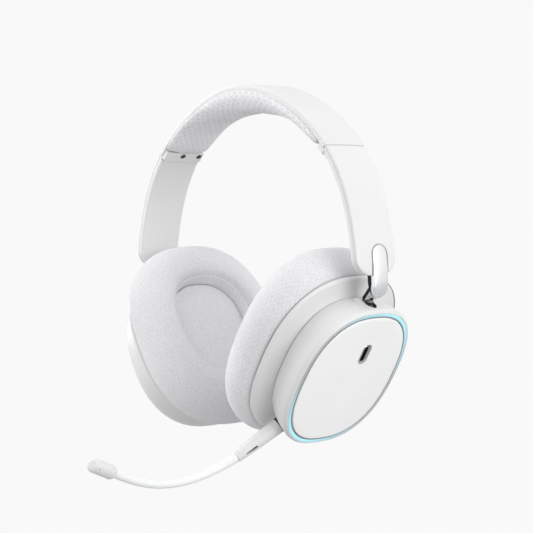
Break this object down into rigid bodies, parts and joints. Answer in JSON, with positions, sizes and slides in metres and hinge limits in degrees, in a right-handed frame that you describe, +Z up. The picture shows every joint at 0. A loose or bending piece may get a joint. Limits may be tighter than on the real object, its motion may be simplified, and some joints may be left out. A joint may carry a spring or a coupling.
{
  "type": "gaming headset",
  "caption": "Over-ear wireless gaming headset: padded headband, straight sliders, tilting oval ear cups with light rings and a plug-in gooseneck microphone.",
  "frame": {"origin": "middle of the headband cushion's underside, where the headset rests on a head", "axes": "+Z up, +X to the wearer's left (the side of the microphone), -Y where the wearer looks"},
  "size_m": [0.1834, 0.1647, 0.1892],
  "materials": {
    "white_plastic": "satin white moulded plastic",
    "black_plastic": "matt black",
    "knit_fabric": "light cool grey sports knit",
    "dark_steel": "blackened spring steel",
    "bright_metal": "satin",
    "light_diffuser": "translucent light guide, lit pale cyan",
    "circuit_board": "solder mask",
    "battery_cell": "wrapped cell",
    "neck_rubber": "light grey silicone sleeve"
  },
  "bodies": {
    "headband": {"crown_shell": "white_plastic", "cushion_carrier": "black_plastic", "headband_cushion": "knit_fabric", "left_arm_inner_cover": "white_plastic", "left_arm_outer_cover": "white_plastic", "left_clamp_plate": "white_plastic", "left_clamp_screw_front": "dark_steel", "left_clamp_screw_rear": "dark_steel", "right_arm_inner_cover": "white_plastic", "right_arm_outer_cover": "white_plastic", "right_clamp_plate": "white_plastic", "right_clamp_screw_front": "dark_steel", "right_clamp_screw_rear": "dark_steel", "spring_strip": "dark_steel"},
    "left_slider": {"left_slider_strip": "dark_steel", "left_slider_cover": "white_plastic"},
    "right_slider": {"right_slider_strip": "dark_steel", "right_slider_cover": "white_plastic"},
    "left_pivot": {"left_knuckle": "bright_metal"},
    "right_pivot": {"right_knuckle": "bright_metal"},
    "left_cup": {"left_baffle": "white_plastic", "left_cup_housing": "white_plastic", "left_diaphragm": "bright_metal", "left_driver_basket": "black_plastic", "left_ear_cushion": "knit_fabric", "left_ear_screen": "knit_fabric", "left_face_plate": "white_plastic", "left_light_ring": "light_diffuser", "left_tilt_pin": "bright_metal", "usb_c_shell": "bright_metal", "usb_c_tongue": "black_plastic", "control_board": "circuit_board", "wheel_axle": "bright_metal", "mic_socket": "black_plastic"},
    "right_cup": {"right_baffle": "white_plastic", "right_cup_housing": "white_plastic", "right_diaphragm": "bright_metal", "right_driver_basket": "black_plastic", "right_ear_cushion": "knit_fabric", "right_ear_screen": "knit_fabric", "right_face_plate": "white_plastic", "right_light_ring": "light_diffuser", "right_tilt_pin": "bright_metal", "battery": "battery_cell"},
    "wheel": {"volume_wheel": "black_plastic"},
    "power_key": {"power_button": "black_plastic"},
    "mute_key": {"mic_mute_button": "black_plastic"},
    "boom_base": {"mic_base": "white_plastic", "mic_plug": "bright_metal"},
    "neck_a": {"mic_neck_1": "neck_rubber"},
    "neck_b": {"mic_neck_2": "neck_rubber"},
    "neck_c": {"mic_neck_3": "neck_rubber"},
    "neck_d": {"mic_neck_4": "neck_rubber", "mic_capsule": "white_plastic", "mic_end_cap": "white_plastic"}
  },
  "joints": [
    {"name": "left_slider_extend", "type": "slide", "parent": "headband", "child": "left_slider", "axis": [0.0785, 0, -0.9969], "range_m": [0, 0.02]},
    {"name": "left_cup_swivel", "type": "hinge", "parent": "left_slider", "child": "left_pivot", "pos_m": [0.08071, 0.00327, -0.09388], "axis": [0.5509, 0.0209, 0.8343], "range_deg": [-15, 15]},
    {"name": "left_cup_tilt", "type": "hinge", "parent": "left_pivot", "child": "left_cup", "pos_m": [0.08071, 0.00327, -0.09388], "axis": [0.0819, -0.9962, -0.0291], "range_deg": [0, 30]},
    {"name": "right_slider_extend", "type": "slide", "parent": "headband", "child": "right_slider", "axis": [-0.0785, 0, -0.9969], "range_m": [0, 0.02]},
    {"name": "right_cup_swivel", "type": "hinge", "parent": "right_slider", "child": "right_pivot", "pos_m": [-0.08103, 0.00299, -0.09531], "axis": [0.5587, 0.0025, -0.8293], "range_deg": [-15, 15]},
    {"name": "right_cup_tilt", "type": "hinge", "parent": "right_pivot", "child": "right_cup", "pos_m": [-0.08103, 0.00299, -0.09531], "axis": [0.0731, 0.996, 0.0522], "range_deg": [0, 30]},
    {"name": "volume_wheel_turn", "type": "hinge", "parent": "left_cup", "child": "wheel", "pos_m": [0.05462, 0.02805, -0.12581], "axis": [0.8306, 0.0844, -0.5505], "continuous": true},
    {"name": "power_button_press", "type": "slide", "parent": "left_cup", "child": "power_key", "axis": [0.3186, -0.8827, 0.3454], "range_m": [0, 0.0007], "stiffness_N_per_m": 900},
    {"name": "mute_button_press", "type": "slide", "parent": "left_cup", "child": "mute_key", "axis": [-0.0072, -0.9867, -0.1621], "range_m": [0, 0.0007], "stiffness_N_per_m": 900},
    {"name": "boom_unplug", "type": "slide", "parent": "left_cup", "child": "boom_base", "axis": [-0.3012, -0.7633, -0.5715], "range_m": [0, 0.013]},
    {"name": "neck_lift_1", "type": "hinge", "parent": "boom_base", "child": "neck_a", "pos_m": [0.03522, -0.03808, -0.16431], "axis": [-0.8306, -0.0844, 0.5505], "range_deg": [-15, 15]},
    {"name": "neck_swing_1", "type": "hinge", "parent": "neck_a", "child": "neck_b", "pos_m": [0.03186, -0.05532, -0.17202], "axis": [-0.5524, 0.251, -0.7949], "range_deg": [-15, 15]},
    {"name": "neck_lift_2", "type": "hinge", "parent": "neck_b", "child": "neck_c", "pos_m": [0.03215, -0.0743, -0.17449], "axis": [-0.8306, -0.0844, 0.5505], "range_deg": [-15, 15]},
    {"name": "neck_swing_2", "type": "hinge", "parent": "neck_c", "child": "neck_d", "pos_m": [0.03598, -0.09287, -0.17157], "axis": [-0.4843, -0.3786, -0.7887], "range_deg": [-15, 15]}
  ],
  "couplings": [
    {"joint": "neck_lift_2", "follows": "neck_lift_1", "ratio": 1},
    {"joint": "neck_swing_2", "follows": "neck_swing_1", "ratio": 1}
  ]
}
